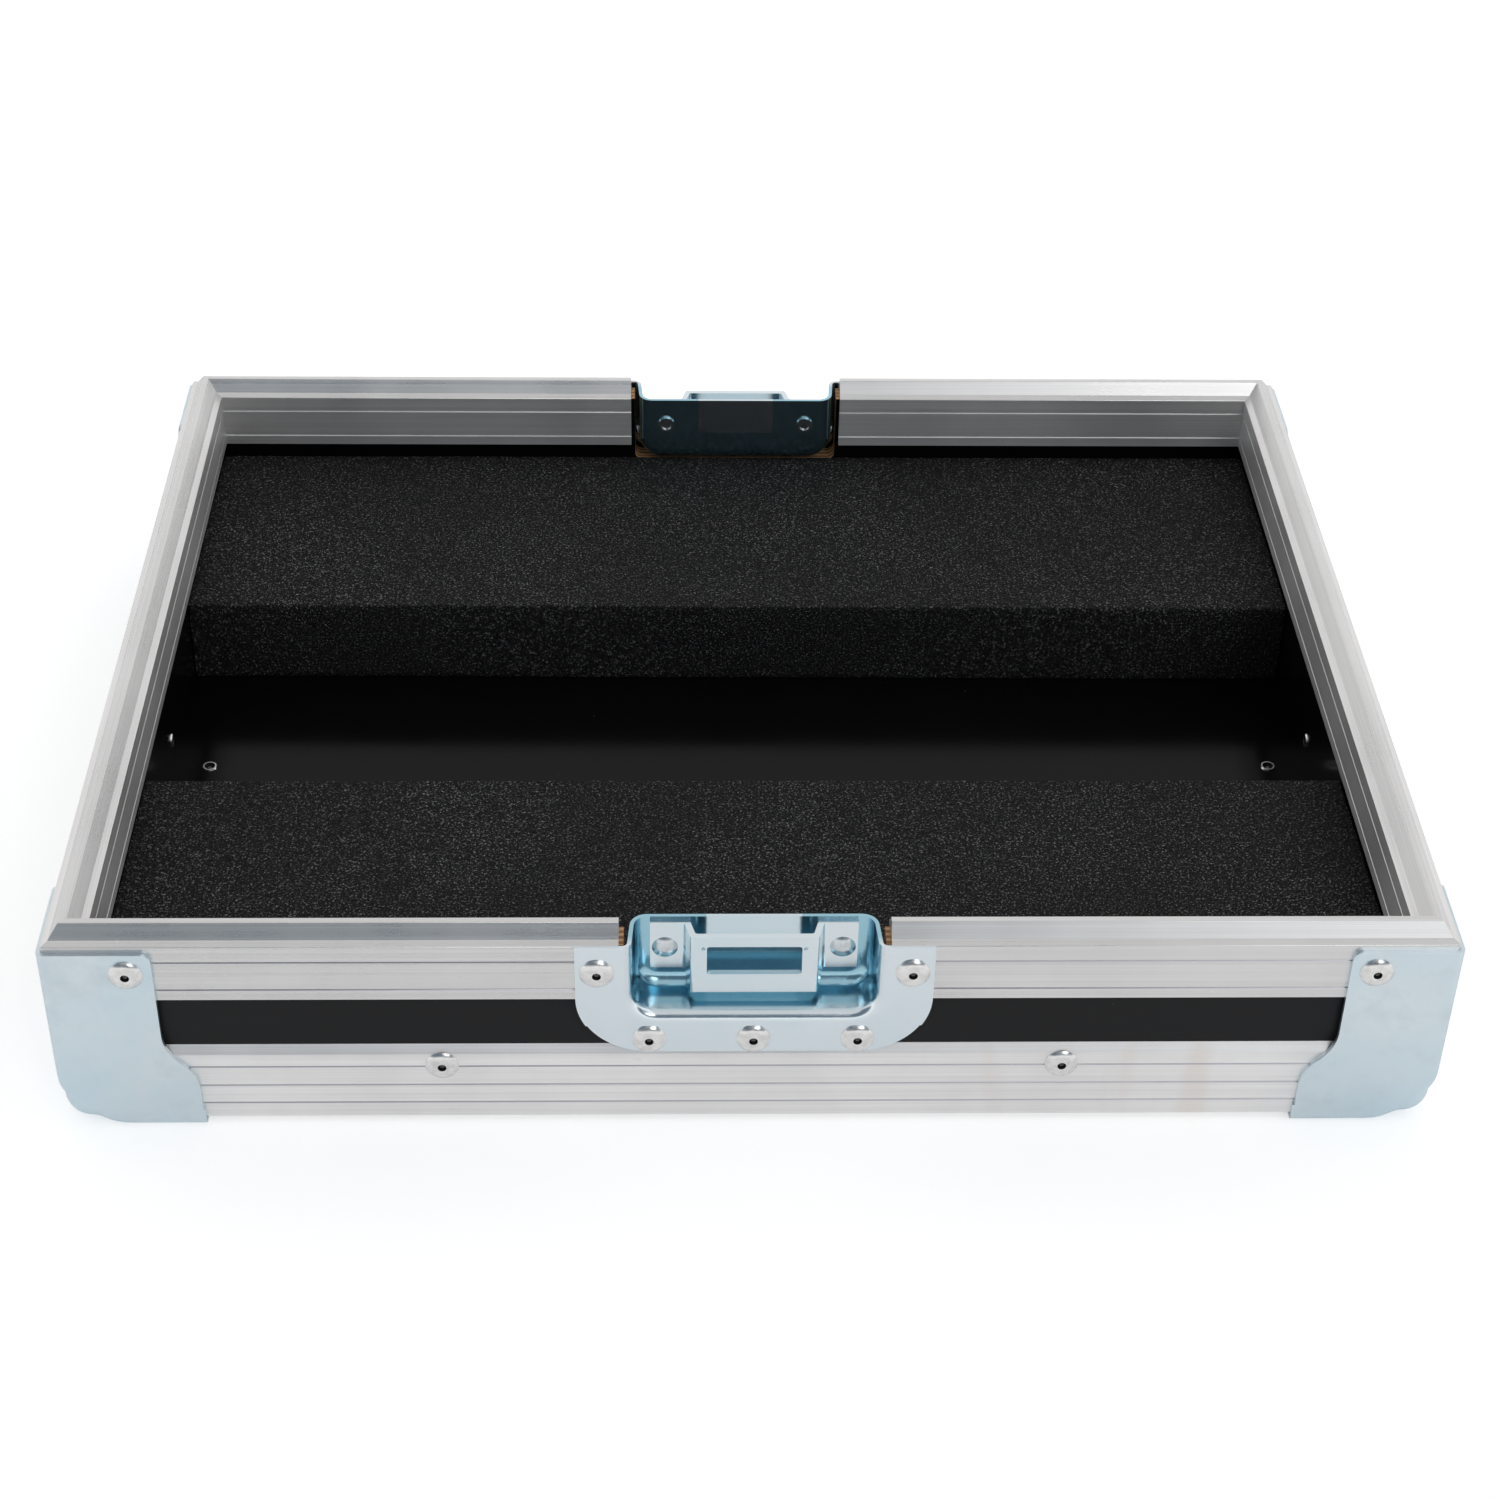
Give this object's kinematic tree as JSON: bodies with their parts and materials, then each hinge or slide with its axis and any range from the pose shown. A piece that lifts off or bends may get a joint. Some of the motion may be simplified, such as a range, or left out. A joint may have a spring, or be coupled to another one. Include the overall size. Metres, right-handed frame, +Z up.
{
  "type": "equipment flight case base",
  "caption": "Shallow open plywood tray of a mixer flight case, edged with aluminium, with steel corner braces, recessed catch dishes and foam blocks.",
  "frame": {"origin": "centre of the bounding box at the level that the four corner braces stand on", "axes": "+X along the width to the right, +Y from the pictured front to the back, +Z up"},
  "size_m": [0.4462, 0.3562, 0.0799],
  "materials": {
    "laminated_plywood": "birch plywood with a satin black laminate on both faces, bare plies at the cut edges",
    "closing_rail": "extruded, natural, fine lengthwise lines",
    "edge_angle": "extruded, natural, fine lengthwise lines",
    "corner_brace": "pressed sheet steel, blue passivated zinc plate, faintly mottled",
    "catch_dish": "deep drawn sheet steel, bright blue passivated zinc plate",
    "catch_plate": "bent sheet steel, smooth blue passivated zinc plate",
    "blind_rivet": "bright domed head with a turned rim",
    "catch_rivet": "zinc plated, low domed head",
    "black_foam": "closed cell polyethylene foam, cut faces with open cells"
  },
  "bodies": {
    "root": {"back_angle": "edge_angle", "back_angle_rivets": "blind_rivet", "back_catch_dish": "catch_dish", "back_catch_plate": "catch_plate", "back_catch_rivets": "catch_rivet", "back_dish_rivets": "blind_rivet", "back_foam_block": "black_foam", "back_left_brace": "corner_brace", "back_left_brace_rivets": "blind_rivet", "back_panel": "laminated_plywood", "back_rail_left": "closing_rail", "back_rail_right": "closing_rail", "back_right_brace": "corner_brace", "back_right_brace_rivets": "blind_rivet", "base_panel": "laminated_plywood", "front_angle": "edge_angle", "front_angle_rivets": "blind_rivet", "front_catch_dish": "catch_dish", "front_catch_plate": "catch_plate", "front_catch_rivets": "catch_rivet", "front_dish_rivets": "blind_rivet", "front_foam_block": "black_foam", "front_left_brace": "corner_brace", "front_left_brace_rivets": "blind_rivet", "front_panel": "laminated_plywood", "front_rail_left": "closing_rail", "front_rail_right": "closing_rail", "front_right_brace": "corner_brace", "front_right_brace_rivets": "blind_rivet", "left_angle": "edge_angle", "left_angle_rivets": "blind_rivet", "left_panel": "laminated_plywood", "left_rail": "closing_rail", "right_angle": "edge_angle", "right_angle_rivets": "blind_rivet", "right_panel": "laminated_plywood", "right_rail": "closing_rail"}
  },
  "joints": []
}
